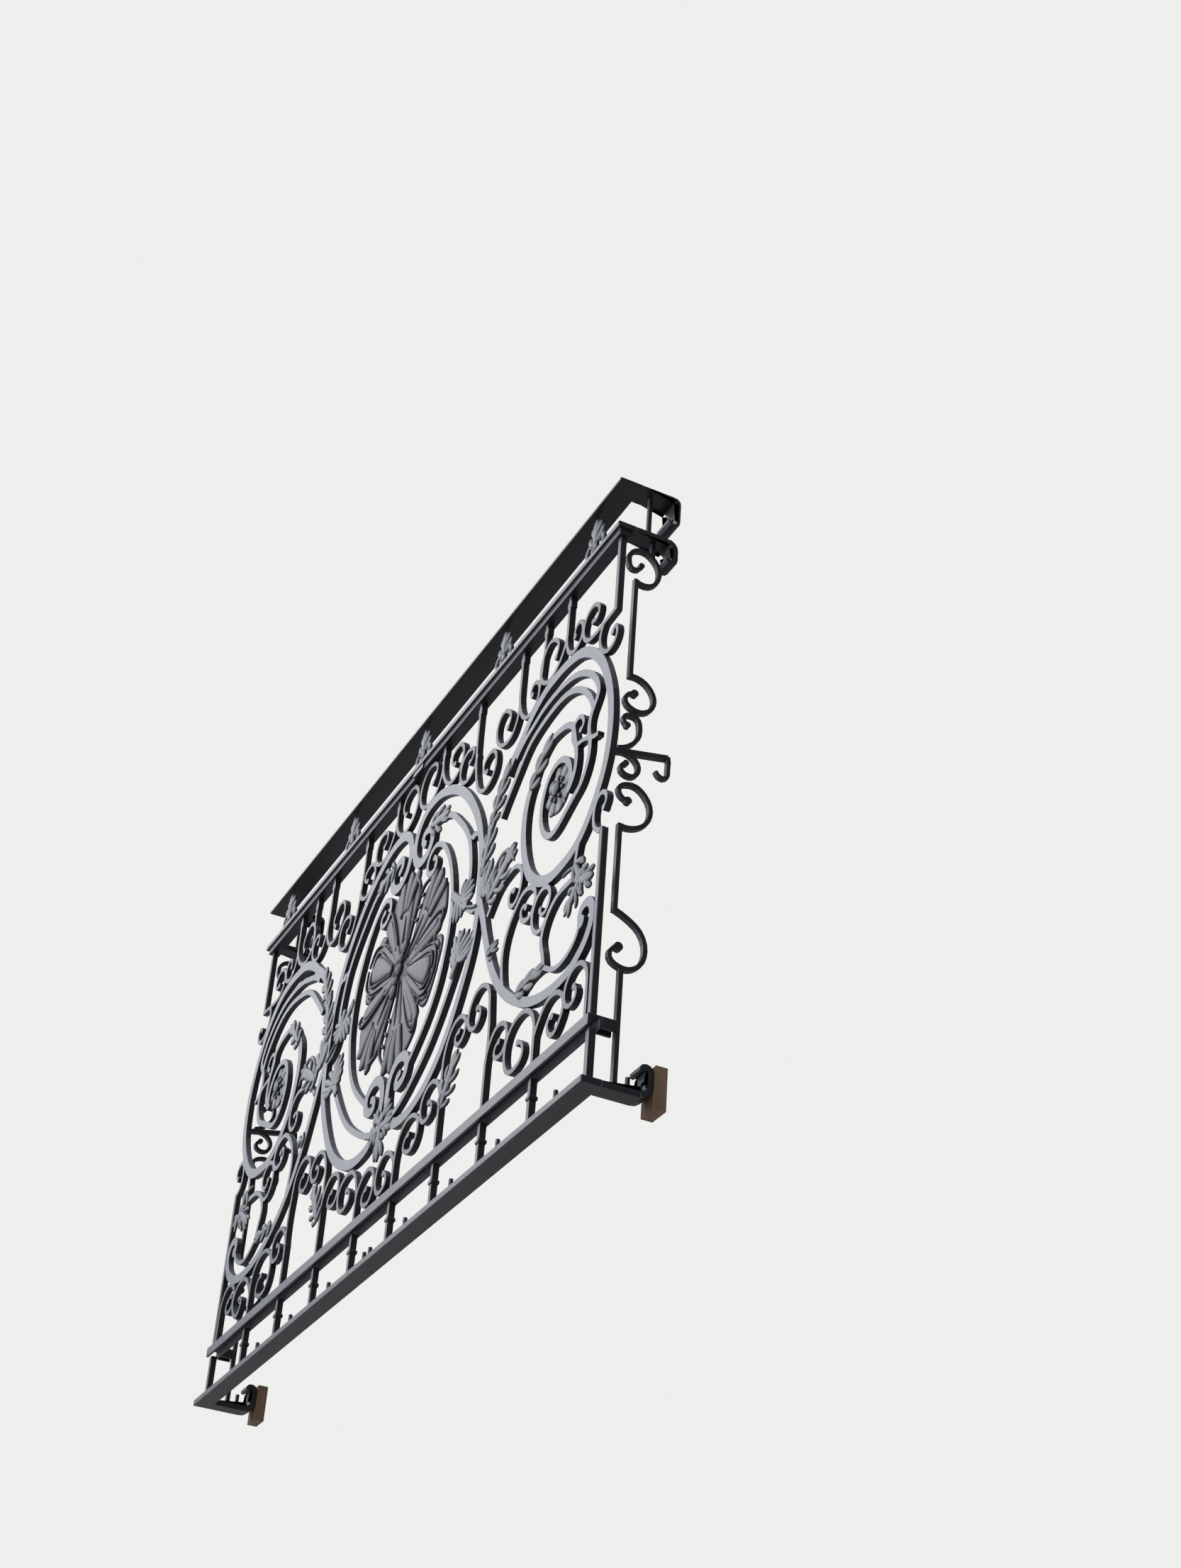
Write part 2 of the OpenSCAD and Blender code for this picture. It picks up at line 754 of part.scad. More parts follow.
// A petal of length l, narrow at the root and widest near its rounded tip
module petal(l, w, tip_w) {
    edge = [[l * 0.06, w * 0.09], [l * 0.4, w * 0.16], [l * 0.62, w * 0.33], [l * 0.8, w * 0.5],
        [l * 0.94, tip_w / 2]];
    polygon(smooth(concat(edge, [[l, 0]], turned_back(edge))));
}

// Four broad palmettes, a scrolled petal and a leaf beside each, and a bow to either side
module rosette_outline() {
    rotate(rosette_turn)
        welded()
            for (s = [0, 1], t = [0, 1])
                mirror([s, 0])
                    mirror([0, t]) {
                        rotate(63) petal(rosette_d / 2, 122, 78);
                        rotate(34) petal(198, 54, 36);
                        rotate(17) petal(198, 38, 24);
                        petal(206, 92, 80);
                    }
}

// Its upper and lower palmettes end on the rolled ends of the band, and it grows with the panel
module rosette() {
    petal_y = panel_y + (bar_d - petal_t) / 2;
    piece("#44474d") {
        upright(petal_y, petal_t)
            difference() {
                translate([0, fitted_z(rosette_z)])
                    scale([side_x / drawn_side_x, (panel_top - lower_rail_z) / drawn_h])
                        rosette_outline();
                centre_outline();
            }
        translate([0, petal_y + petal_t, fitted_z(rosette_z)])
            rotate([90, 0, 0])
                cylinder(d = boss_d, h = petal_t + boss_rise);
    }
}

// The flower fills the eye of the oval's core
module oval_flower() {
    petals = 8;
    upright()
        difference() {
            translate(fitted([696, 660])) {
                circle(d = flower_d * 0.6);
                for (i = [1 : petals])
                    rotate(i * 360 / petals)
                        translate([flower_d * 0.33, 0])
                            circle(d = flower_d * 0.34);
            }
            oval_outline();
        }
}

module oval_flower_right() {
    piece("#44474d") oval_flower();
}

module oval_flower_left() {
    piece("#44474d") left_hand() oval_flower();
}

// A floret between the upper rail and the handrail, at place i from the middle
module floret(i) {
    h = floret_h;
    edge = [[11, 0], [20, h * 0.13], [floret_w / 2, h * 0.36], [28, h * 0.6], [15, h * 0.55], [22, h * 0.78],
        [10, h]];
    other = [for (k = [len(edge) - 1 : -1 : 0]) [-edge[k][0], edge[k][1]]];
    translate([i * floret_pitch * side_x / drawn_side_x, 0, upper_rail_z])
        upright()
            polygon(concat(smooth(edge), smooth(other)));
}

module floret_centre() {
    piece("#44474d") floret(0);
}

module floret_right() {
    piece("#44474d") floret(1);
}

module floret_left() {
    piece("#44474d") floret(-1);
}

module floret_far_right() {
    piece("#44474d") floret(2);
}

module floret_far_left() {
    piece("#44474d") floret(-2);
}

// Side panels

// Height of the bar that runs back to the wall at mid height
mid_bar_z = 653;

// Heights of the square corners where the upright bars turn into scrolls
side_corners = [1006, 797, 489, 328];
upright_y = 52;
low_upright_y = 49;
// The foot stands against the end of the lower rail's return
foot_y = edge_in + lower_rail_w / 2 + lower_return_l + side_scroll_w / 2;

// An upright bar between two heights, squared off at the ends
module side_rod(y, z0, z1) {
    cap = [0, side_scroll_w / 2];
    straight(side_fitted([y, z0]) - cap, side_fitted([y, z1]) + cap, side_scroll_w);
}

module side_outline() {
    welded() {
        side_rod(upright_y, side_corners[1], side_corners[0]);
        side_scroll([[upright_y, side_corners[0]], [78, 1004], [97, 1034], [86, 1066], [62, 1078],
            [36, 1054], [50, 1031], [61, 1044]]);
        side_scroll([[upright_y, side_corners[1]], [74, 795], [92, 781], [100, 758], [90, 735], [68, 727],
            [45, 748], [62, 763]], 7);
        side_scroll([[36, mid_bar_z - 12], [63, mid_bar_z + 4], [76, 687], [62, 715], [44, 703],
            [52, 693]]);
        side_scroll([[36, mid_bar_z - 20], [64, mid_bar_z - 22], [77, 614], [62, 591], [44, 604],
            [53, 615]]);
        side_scroll([[low_upright_y, side_corners[2]], [74, 491], [96, 507], [104, 533], [92, 562],
            [68, 575], [44, 553], [61, 542]], 7);
        side_rod(low_upright_y, side_corners[3], side_corners[2]);
        side_scroll([[low_upright_y, side_corners[3]], [72, 318], [96, 300], [107, 267], [97, 237],
            [70, 225], [44, 247], [59, 262]], 8);
        straight([foot_y, fitted_z(224)], [foot_y, frame_t], side_scroll_w);
        // A stub carries the topmost scroll on the underside of the rail's return
        straight(side_fitted([82, 1072]), [side_fitted([82, 1072])[0], upper_rail_under], side_scroll_w);
    }
}

// The middle bar rises a little to the wall, and its lug is curled down there
module mid_bar_outline() {
    rise = 20;
    z = fitted_z(mid_bar_z) - rise / 2;
    back = reach + mid_bar_extra;
    welded() {
        straight([panel_back, z - rise / 2], [back - side_t / 2, z + rise / 2], side_t);
        ribbon([[back - side_t / 2, z + rise / 2 + side_t / 2 - 3], [back - 4, z - 10], [back - 12, z - 34],
            [back - 27, z - 24]], 7, 6);
    }
}

module side_panel() {
    sideways(side_x - side_t / 2, side_t) {
        side_outline();
        mid_bar_outline();
    }
}

module side_panel_right() {
    piece("#34373c") side_panel();
}

module side_panel_left() {
    piece("#34373c") left_hand() side_panel();
}

bottom_frame_front();
bottom_frame_left();
bottom_frame_right();
packer_left();
packer_right();
lower_rail_front();
lower_rail_left();
lower_rail_right();
upper_rail_front();
upper_rail_left();
upper_rail_right();
handrail_front();
handrail_left();
handrail_right();
strut_left();
strut_right();
corner_post_left();
corner_post_right();
kick_bars();
top_scrolls_left();
top_scrolls_right();
base_scrolls_left();
base_scrolls_right();
centre_scrollwork();
rosette();
foot_leaf();
oval_left();
oval_right();
oval_flower_left();
oval_flower_right();
lyre_left();
lyre_right();
leaves_left();
leaves_right();
side_panel_left();
side_panel_right();
floret_far_left();
floret_left();
floret_centre();
floret_right();
floret_far_right();
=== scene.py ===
import math

import bmesh
import bpy
from mathutils import Matrix, Vector


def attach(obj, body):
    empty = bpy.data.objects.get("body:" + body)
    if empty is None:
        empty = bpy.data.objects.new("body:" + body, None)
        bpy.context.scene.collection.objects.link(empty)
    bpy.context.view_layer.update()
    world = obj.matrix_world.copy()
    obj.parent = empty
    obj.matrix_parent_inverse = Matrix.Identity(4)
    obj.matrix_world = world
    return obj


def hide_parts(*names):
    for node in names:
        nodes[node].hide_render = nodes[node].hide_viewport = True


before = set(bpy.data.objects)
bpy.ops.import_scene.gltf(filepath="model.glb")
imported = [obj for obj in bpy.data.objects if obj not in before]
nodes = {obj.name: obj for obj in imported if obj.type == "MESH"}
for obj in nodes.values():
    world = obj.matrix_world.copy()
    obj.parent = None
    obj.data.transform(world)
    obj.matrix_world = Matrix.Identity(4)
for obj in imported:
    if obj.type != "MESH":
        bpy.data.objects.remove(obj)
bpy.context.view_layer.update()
scene = bpy.context.scene

# View: looking up at the right end of the balcony from below, as from the pavement, with a lens
# of moderate length. The whole front is in the picture, seen at a steep slant.
view = bpy.data.cameras.new("view_from_below")
view.sensor_fit = "HORIZONTAL"
view.sensor_width = 36.0
view.lens = 70.5
view.clip_start = 0.05
view_from_below = bpy.data.objects.new("view_from_below", view)
scene.collection.objects.link(view_from_below)
stand = (2.888, -1.488, -1.5975)
right = Vector((0.4530, 0.8896, 0.0580)).normalized()
back = -Vector((-0.7551, 0.3483, 0.5555)).normalized()
up = back.cross(right)
view_from_below.matrix_world = Matrix.Translation(stand) @ Matrix((right, up, back)).transposed().to_4x4()
scene.camera = view_from_below
scene.view_settings.view_transform = "Standard"


# Painted iron: satin black paint over forged bar, brushed on thickly. A chalky blue grey reflection of
# the sky is painted on the faces that look out at the street and up, and it stays black underneath.
class Value:
    """A shader value; arithmetic on it adds Math nodes to its finish."""

    def __init__(self, finish, socket):
        self.finish = finish
        self.socket = socket

    def reckon(self, operation, first, second):
        return self.finish.node("Math", {"operation": operation}, {0: first, 1: second})

    def __add__(self, other):
        return self.reckon("ADD", self, other)

    def __radd__(self, other):
        return self.reckon("ADD", other, self)

    def __mul__(self, other):
        return self.reckon("MULTIPLY", self, other)

    def __rmul__(self, other):
        return self.reckon("MULTIPLY", other, self)

    def held(self):
        """The value kept between 0 and 1."""
        return self.finish.node("Clamp", {}, {"Value": self, "Min": 0.0, "Max": 1.0})


class Finish:
    """A material, or the surround, and the nodes that give its look on its own coordinates."""

    def __init__(self, material):
        self.material = material
        self.material.use_nodes = True
        self.tree = self.material.node_tree

    def node(self, kind, settings, sockets, output=0):
        """A new node with its settings and the values or links of its sockets."""
        made = self.tree.nodes.new("ShaderNode" + kind)
        for key, value in settings.items():
            setattr(made, key, value)
        for key, value in sockets.items():
            if isinstance(value, Value):
                self.tree.links.new(value.socket, made.inputs[key])
            else:
                made.inputs[key].default_value = value
        return Value(self, made.outputs[output])

    def place(self, stretch=(1.0, 1.0, 1.0)):
        """Object coordinates, stretched so that a pattern can run along one way."""
        coordinates = self.node("TexCoord", {}, {}, "Object")
        return self.node("Mapping", {}, {"Vector": coordinates, "Scale": stretch})

    def noise(self, scale, detail, stretch=(1.0, 1.0, 1.0)):
        return self.node("TexNoise", {}, {
            "Vector": self.place(stretch), "Scale": scale, "Detail": detail, "Roughness": 0.55})

    def spread(self, value, low, high):
        """The value from low to high, spread over 0 to 1."""
        return self.node("MapRange", {"clamp": True}, {
            "Value": value, "From Min": low, "From Max": high, "To Min": 0.0, "To Max": 1.0})

    def facing(self, axis):
        """How far the surface turns towards an axis of the object, from -1 to 1."""
        normal = self.node("NewGeometry", {}, {}, "Normal")
        return self.node("VectorMath", {"operation": "DOT_PRODUCT"}, {0: normal, 1: axis}, "Value")

    def mix(self, factor, first, second):
        """The first colour turned into the second by the factor."""
        return self.node("Mix", {"data_type": "RGBA"}, {0: factor, 6: first, 7: second}, 2)

    def relief(self, height, strength, distance):
        return self.node("Bump", {}, {"Height": height, "Strength": strength, "Distance": distance})

    def surface(self, **sockets):
        """Gives the material's own shader its colour, gloss and relief."""
        for key, value in sockets.items():
            entry = self.tree.nodes["Principled BSDF"].inputs[key.replace("_", " ")]
            if isinstance(value, Value):
                self.tree.links.new(value.socket, entry)
            else:
                entry.default_value = value
        return self.material


black = (0.013, 0.013, 0.016, 1.0)
speck_black = (0.012, 0.011, 0.011, 1.0)


def painted_iron(name, sky_sheen, gloss, turned=0.25):
    """Black paint with a painted sky sheen on faces turned to the street past the given share, and up."""
    paint = Finish(bpy.data.materials.new(name))
    # how far each face turns to the street and up, which sets where the sky reflection is painted
    front = paint.spread(paint.facing((0.0, -1.0, 0.0)), turned, 0.95)
    top = paint.spread(paint.facing((0.0, 0.0, 1.0)), 0.2, 0.9)
    sky_facing = (front * 0.9 + top * 0.7).held()
    cloud = paint.spread(paint.noise(7.0, 5.0), 0.34, 0.68)
    streak = paint.spread(paint.noise(26.0, 4.0, (1.0, 1.0, 0.22)), 0.3, 0.72)
    # the share of painted sky sheen, patchy and streaked in strength
    painted_sheen = (sky_facing * (0.66 + cloud * 0.2 + streak * 0.2)).held()
    colour = paint.mix(painted_sheen, black, sky_sheen)
    specks = paint.spread(paint.noise(150.0, 2.0), 0.66, 0.74)
    colour = paint.mix(specks * 0.3, colour, speck_black)
    brushed = paint.noise(95.0, 4.0) * 0.7 + paint.noise(420.0, 2.0) * 0.3
    return paint.surface(
        Base_Color=colour,
        Roughness=(gloss + painted_sheen * 0.12 + streak * 0.06).held(),
        Metallic=0.0,
        Specular_IOR_Level=0.25,
        Normal=paint.relief(brushed, 0.35, 0.0006))


# each paint's second colour is its painted sky sheen: brightest on the bands, dimmer on scrolls and rails
band_paint = painted_iron("band_paint", (0.340, 0.358, 0.405, 1.0), 0.34)
scroll_paint = painted_iron("scroll_paint", (0.235, 0.247, 0.280, 1.0), 0.34)
rail_paint = painted_iron("rail_paint", (0.225, 0.235, 0.265, 1.0), 0.32)


# Bars: the frame, rails, bands and scrolls are rolled flats and squares of wrought iron, bent hot
# and welded, and their edges are slightly rounded. The broad bands of the centre, the ovals and
# the lyres are given a brighter painted sky sheen than the rest.
rail_edge = 0.0012
scroll_edge = 0.0014


def soft_edges(piece, width, paint):
    """Paints a bar or block and rounds its long edges."""
    piece.data.materials.clear()
    piece.data.materials.append(paint)
    joined = piece.modifiers.new("joined", "WELD")
    joined.merge_threshold = 0.00001
    rounding = piece.modifiers.new("rounding", "BEVEL")
    rounding.width = width
    rounding.segments = 2
    rounding.limit_method = "ANGLE"
    rounding.angle_limit = math.radians(50)
    even = piece.modifiers.new("even", "WEIGHTED_NORMAL")
    even.keep_sharp = True


for name, piece in nodes.items():
    if name.startswith(("handrail", "upper_rail", "bottom_frame", "lower_rail")):
        soft_edges(piece, rail_edge, rail_paint)
    elif name.startswith(("centre_scrollwork", "oval_left", "oval_right", "lyre")):
        soft_edges(piece, scroll_edge, band_paint)
    elif not name.startswith("packer"):
        soft_edges(piece, scroll_edge, scroll_paint)


# Packers: blocks of brown laminated wood behind the bottom lugs, which hold the frame off the
# wall. The edges of the plies show as lines, and the grain runs upright.
packer_edge = 0.0008
plies_per_metre = 1800.0
packer_wood = Finish(bpy.data.materials.new("packer_wood"))
depth = packer_wood.node("SeparateXYZ", {}, {"Vector": packer_wood.place()}, "Y")
ply = packer_wood.node("Math", {"operation": "SINE"}, {0: depth * plies_per_metre})
grain = packer_wood.noise(60.0, 5.0, (1.0, 1.0, 0.12))
stain = packer_wood.spread(packer_wood.noise(14.0, 3.0), 0.35, 0.7)
wood = packer_wood.mix(
    packer_wood.spread(grain, 0.3, 0.7), (0.105, 0.056, 0.030, 1.0), (0.230, 0.135, 0.075, 1.0))
wood = packer_wood.mix(packer_wood.spread(ply, 0.35, 0.9) * 0.55, wood, (0.060, 0.032, 0.018, 1.0))
wood = packer_wood.mix(stain * 0.4, wood, (0.075, 0.055, 0.042, 1.0))
packer_wood.surface(
    Base_Color=wood,
    Roughness=0.72,
    Normal=packer_wood.relief(grain, 0.4, 0.0008))
for name in ("packer_left", "packer_right"):
    soft_edges(nodes[name], packer_edge, packer_wood.material)


# Castings: the leaves, flowers and rosette are grey iron, cast with their veins and lobes raised
# and painted with the bars. A casting lies on the front of the bars and is riveted or sweated on.
panel_front = 16.0
# the origin, which is the middle of the right packer's back face, in these millimetres
hold_x, hold_y, hold_z = 892.0, 146.0, 22.5


def set_out(x, z, depth=0.0):
    """A point of the front: millimetres from the middle, up from the frame and out from the bars."""
    return Vector((x - hold_x, panel_front - depth - hold_y, z - hold_z)) / 1000.0


# castings take painted sky sheen only where turned well to the street; their slopes stay dark as painted
# shade
leaf_paint = painted_iron("leaf_paint", (0.320, 0.335, 0.365, 1.0), 0.38, 0.5)
# the rosette gets the dimmest painted sky sheen
rosette_paint = painted_iron("rosette_paint", (0.165, 0.173, 0.205, 1.0), 0.38, 0.62)


def curve(points):
    """A smooth line through the points, in short parts."""
    parts = 4
    line = []
    ends = [points[0], *points, points[-1]]
    for before, start, stop, after in zip(ends, ends[1:], ends[2:], ends[3:]):
        for part in range(parts):
            t = part / parts
            line.append(Vector([
                0.5 * (2.0 * b + (c - a) * t + (2.0 * a - 5.0 * b + 4.0 * c - d) * t * t
                       + (3.0 * b - a - 3.0 * c + d) * t ** 3)
                for a, b, c, d in zip(before, start, stop, after)]))
    line.append(Vector(points[-1]))
    return line


def spot_on(line, along):
    """The place at a share of a line's length, and the number of the part that it is in."""
    step = along * (len(line) - 1)
    part = min(int(step + 0.001), len(line) - 2)
    return line[part].lerp(line[part + 1], step - part), part


def thicken(mesh, made, thickness):
    """Turns a drawn face of a casting to the street and gives it its metal."""
    faces = list({face for corner in made for face in corner.link_faces})
    bmesh.ops.recalc_face_normals(mesh, faces=faces)
    if sum(face.normal.y for face in faces) > 0.0:
        bmesh.ops.reverse_faces(mesh, faces=faces)
    bmesh.ops.solidify(mesh, geom=faces, thickness=thickness / 1000.0)


def strip(mesh, place, points, width, crown, base=0.0, waist=0.3, fullness=0.68, vein=0.0,
          droop=0.0, flat=2.0, sides=6, thickness=2.8):
    """A raised strip of a casting: it swells along its line, and its face is crowned or flat.

    waist is how wide its root is, fullness is where it is widest, and droop curls its tip back."""
    line = curve(points)
    made = bmesh.ops.create_grid(mesh, x_segments=len(line) - 1, y_segments=sides, size=1.0)["verts"]
    for corner in made:
        along = (corner.co.x + 1.0) / 2.0
        across = corner.co.y
        spot, part = spot_on(line, along)
        ahead = (line[min(part + 2, len(line) - 1)] - line[max(part - 1, 0)]).normalized()
        if along < fullness:
            swell = waist + (1.0 - waist) * math.sin(along / fullness * math.pi / 2.0) ** 1.2
        else:
            swell = math.cos((along - fullness) / (1.0 - fullness) * math.pi / 2.0) ** 0.5
        half = across * width / 2.0 * max(0.08, swell)
        fade = 0.5 + 0.5 * math.sin(math.pi * min(1.0, along * 0.8 + 0.14))
        rise = base + crown * (1.0 - abs(across) ** flat) * fade
        rise -= vein * math.exp(-(across / 0.2) ** 2) * min(1.0, 4.0 * (1.0 - along))
        rise -= droop * along ** 3
        corner.co = place(spot.x - ahead.y * half, spot.y + ahead.x * half, rise)
    thicken(mesh, made, thickness)


def web(mesh, place, first, second, base, crown):
    """The thin field of a casting between two of its edges, which have as many points."""
    one, other = curve(first), curve(second)
    made = bmesh.ops.create_grid(mesh, x_segments=len(one) - 1, y_segments=8, size=1.0)["verts"]
    for corner in made:
        along = (corner.co.x + 1.0) / 2.0
        across = corner.co.y
        start, stop = spot_on(one, along)[0], spot_on(other, along)[0]
        spot = start.lerp(stop, (across + 1.0) / 2.0)
        corner.co = place(spot.x, spot.y, base + crown * (1.0 - across ** 2))
    thicken(mesh, made, 3.0)


def button(mesh, centre, radius, rise, sides=24):
    """A round boss: a ball pressed flat and half sunk, with a ring around its foot."""
    made = bmesh.ops.create_uvsphere(mesh, u_segments=sides, v_segments=10, radius=1.0)["verts"]
    for corner in made:
        x, y, z = corner.co
        ring = 1.0 + 0.16 * math.exp(-((abs(z) - 0.25) / 0.16) ** 2)
        corner.co = set_out(
            centre[0] + x * radius * ring, centre[1] + y * radius * ring, centre[2] + z * rise)


def finished(name, mesh, paint):
    """The drawn mesh as an object with its paint on."""
    data = bpy.data.meshes.new(name)
    mesh.to_mesh(data)
    mesh.free()
    data.materials.append(paint)
    piece = bpy.data.objects.new(name, data)
    scene.collection.objects.link(piece)
    return piece


def cast_piece(name, mesh, paint, *replaced):
    """Makes the finished casting, smooth over its crowned faces, in place of its plain solid."""
    bmesh.ops.remove_doubles(mesh, verts=mesh.verts, dist=0.00002)
    bmesh.ops.recalc_face_normals(mesh, faces=mesh.faces)
    for face in mesh.faces:
        face.smooth = True
    piece = finished(name, mesh, paint)
    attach(piece, "root")
    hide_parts(*replaced)


# Rosette: a big cast flower in the inner ring, the same to all four quarters and set turned a
# little. Palmettes stand up and down from a row of bosses, with a scrolled lobe, a leaf and a bow
# to each side, and it is pierced between them. It is let in between the bars, so it sits back.
rosette = bmesh.new()
rosette_z = 628.0
rosette_turn = math.radians(-25.0)
rosette_base = -6.0


def quarter(across, upward):
    """Places a point of one quarter of the rosette, mirrored as told."""
    def place(u, v, rise):
        u, v = u * across, v * upward
        return set_out(
            u * math.cos(rosette_turn) - v * math.sin(rosette_turn),
            rosette_z + u * math.sin(rosette_turn) + v * math.cos(rosette_turn), rise + rosette_base)
    return place


# the line of each tip of a palmette, and its width
palmette_tips = (
    (((58, 122), (56, 172), (52, 214)), 34), (((72, 118), (82, 166), (96, 207)), 36),
    (((84, 110), (108, 148), (131, 184)), 34))
palmette_edges = (
    ((7, 34), (9, 90), (9, 140), (20, 170), (44, 191), (60, 206)),
    ((32, 18), (84, 44), (128, 70), (160, 92), (168, 124), (136, 176)))
bow_edges = (
    ((34, 11), (86, 36), (132, 56), (168, 72), (192, 62), (203, 20)),
    ((24, 0), (70, 0), (116, 0), (156, 0), (186, 0), (203, 0)))
# the line of each raised rim, and its width
rosette_rims = (
    (((4, 56), (3, 100), (2, 144), (13, 173), (38, 188), (58, 196)), 10),
    (((60, 52), (118, 100), (156, 120), (173, 112), (166, 97)), 10),
    (((14, 22), (34, 66), (54, 112)), 7),
    (((48, 9), (100, 23), (140, 35), (162, 36), (177, 24), (183, 3)), 8),
    (((92, 36), (140, 50), (172, 49), (193, 34), (204, 3)), 6))
for across in (1, -1):
    for upward in (1, -1):
        corner_place = quarter(across, upward)
        web(rosette, corner_place, *palmette_edges, -1.0, 2.0)
        web(rosette, corner_place, *bow_edges, -1.5, 1.0)
        strip(rosette, corner_place, ((16, 30), (50, 100), (80, 164)), 62, 3.0, base=0.5,
              fullness=0.86, flat=5.0)
        for line, width in palmette_tips:
            strip(rosette, corner_place, line, width, 6.0, base=1.5, waist=0.5, vein=2.4, droop=2.0)
        strip(rosette, corner_place, ((24, 14), (96, 62), (168, 108)), 50, 4.5, waist=0.35,
              fullness=0.82, flat=3.0)
        strip(rosette, corner_place, ((60, 40), (110, 74), (152, 102)), 22, 3.5, base=3.0, waist=0.4,
              vein=1.5)
        strip(rosette, corner_place, ((34, 8), (112, 31), (190, 52)), 38, 4.5, vein=2.2, droop=1.5)
        for line, width in rosette_rims:
            strip(rosette, corner_place, line, width, 5.0, base=2.0, waist=0.6, fullness=0.9, sides=4)
        for height in (98, 126, 150):
            bridge = ((-4, height), (8, height + 3), (20, height + 8))
            strip(rosette, corner_place, bridge, 9, 2.5, base=1.5, waist=0.8, sides=4)
        for reach in (78, 116, 148):
            bridge = ((reach + 4, reach * 0.38), (reach, reach * 0.49), (reach - 4, reach * 0.6))
            strip(rosette, corner_place, bridge, 9, 2.0, base=0.5, waist=0.8, sides=4)
    bow_place = quarter(across, 1)
    strip(rosette, bow_place, ((30, 0), (110, 0), (196, 0)), 92, 2.5, waist=0.25, fullness=0.82,
          flat=5.0)
    strip(rosette, bow_place, ((48, 0), (110, 0), (178, 0)), 66, 7.0, base=1.0, waist=0.2,
          fullness=0.86, flat=4.0)
button(rosette, (0.0, rosette_z, rosette_base - 1.0), 38.0, 5.0)
for along, radius in ((-46, 15), (-24, 11), (0, 14), (24, 11), (46, 15)):
    button(rosette, (
        -along * math.sin(rosette_turn), rosette_z + along * math.cos(rosette_turn), rosette_base + 5.0),
        radius, 7.5)
cast_piece("rosette_casting", rosette, rosette_paint, "rosette")


# Leaves: sprays of finger lobes that spring from a rib, each cast in one piece and wrapped over
# the bar that it grows from. The biggest stand at the roots of the lyres and up the centre's band.
def leaf(mesh, place, root, angle, length, width, lobes):
    """A lobed leaf: a rib down its middle, a thin body and pairs of fingers that lean forward."""
    turn = math.radians(angle)

    def spot(along, side):
        return (root[0] + along * math.cos(turn) - side * math.sin(turn),
                root[1] + along * math.sin(turn) + side * math.cos(turn))

    rib = (spot(0, 0), spot(length * 0.5, 0), spot(length, 0))
    strip(mesh, place, rib, width * 0.42, 4.5, base=1.0, waist=0.4, fullness=0.5, vein=1.6, droop=2.0)
    for pair in range(lobes):
        reach = width / 2.0 * math.sin(math.pi * ((pair + 0.6) / lobes) ** 0.8) ** 0.7
        foot = pair * 0.78 / lobes * length
        tip = (pair + 0.82) / lobes * length
        bend = foot * 0.55 + tip * 0.45
        for side in (-1, 1):
            line = (spot(foot, 0), spot(bend, side * reach * 0.72), spot(tip, side * reach))
            strip(mesh, place, line, length / lobes * 0.5, 4.5, waist=0.35, vein=1.4, droop=3.0)


def fan(mesh, place, root, tips, width):
    """Fingers that spread and curl from one root."""
    for number, tip in enumerate(tips):
        lean = (number / (len(tips) - 1) - 0.5) * 0.3
        middle = (
            (root[0] + tip[0]) / 2.0 + (tip[1] - root[1]) * lean,
            (root[1] + tip[1]) / 2.0 - (tip[0] - root[0]) * lean)
        strip(mesh, place, (root, middle, tip), width, 4.5, waist=0.4, vein=1.2, droop=2.5)


# where each leaf springs, its angle, length and width, and its pairs of lobes
lobed_leaves = (
    (92, 912, -8, 95, 56, 3), (392, 640, 78, 130, 56, 4), (414, 740, 62, 130, 50, 4),
    (428, 566, 32, 130, 70, 4), (452, 440, 12, 44, 34, 2), (584, 722, 46, 110, 46, 3),
    (596, 298, 4, 106, 30, 3), (800, 452, 300, 66, 44, 2), (816, 408, -14, 58, 54, 2),
    (826, 410, 218, 74, 54, 3), (300, 205, 60, 110, 66, 4))
# where each fan springs, the tips of its fingers and their width
fans = (
    ((302, 636), ((308, 678), (330, 670), (348, 657), (356, 641), (350, 626)), 17),
    ((290, 646), ((298, 598), (280, 596), (264, 602), (256, 618)), 17),
    ((303, 502), ((276, 512), (270, 528), (272, 546), (278, 566), (298, 570)), 18),
    ((303, 502), ((325, 562), (350, 549), (371, 537), (377, 520), (368, 505)), 18),
    ((402, 590), ((390, 642), (408, 660), (430, 660), (448, 634), (440, 606)), 22))
# the line of each strap that crosses the bars, its width and the depth of its vein
straps = (
    (((248, 672), (292, 636), (332, 605)), 26, 2.4), (((325, 608), (345, 597), (376, 584)), 9, 0.0),
    (((284, 474), (294, 488), (308, 508)), 24, 1.8), (((755, 448), (776, 449), (797, 446)), 9, 0.0),
    (((432, 560), (441, 600), (462, 630), (492, 640), (518, 624), (538, 596)), 12, 0.0))
for hand, name in ((1, "right"), (-1, "left")):
    leaves = bmesh.new()

    def on_hand(x, z, rise):
        return set_out(hand * x, z, rise)

    for x, z, angle, length, width, lobes in lobed_leaves:
        leaf(leaves, on_hand, (x, z), angle, length, width, lobes)
    for root, tips, width in fans:
        fan(leaves, on_hand, root, tips, width)
    for line, width, vein in straps:
        strip(leaves, on_hand, line, width, 4.0, base=0.5, waist=0.7, fullness=0.8, vein=vein)
    cast_piece("leaf_castings_" + name, leaves, leaf_paint, "leaves_" + name)

# Foot leaf: a cast spray of five leaves over the weld where the two halves of the centre's band
# meet. One leaf hangs down and two spread to each side.
foot = bmesh.new()
leaf(foot, set_out, (0, 292), 270, 76, 60, 2)
for hand in (1, -1):
    for x, z, angle, length, width in ((-8, 286, 0, 70, 50), (-6, 288, 42, 66, 38)):
        leaf(foot, set_out, (hand * x, z), angle if hand > 0 else 180 - angle, length, width, 2)
cast_piece("foot_leaf_casting", foot, leaf_paint, "foot_leaf")

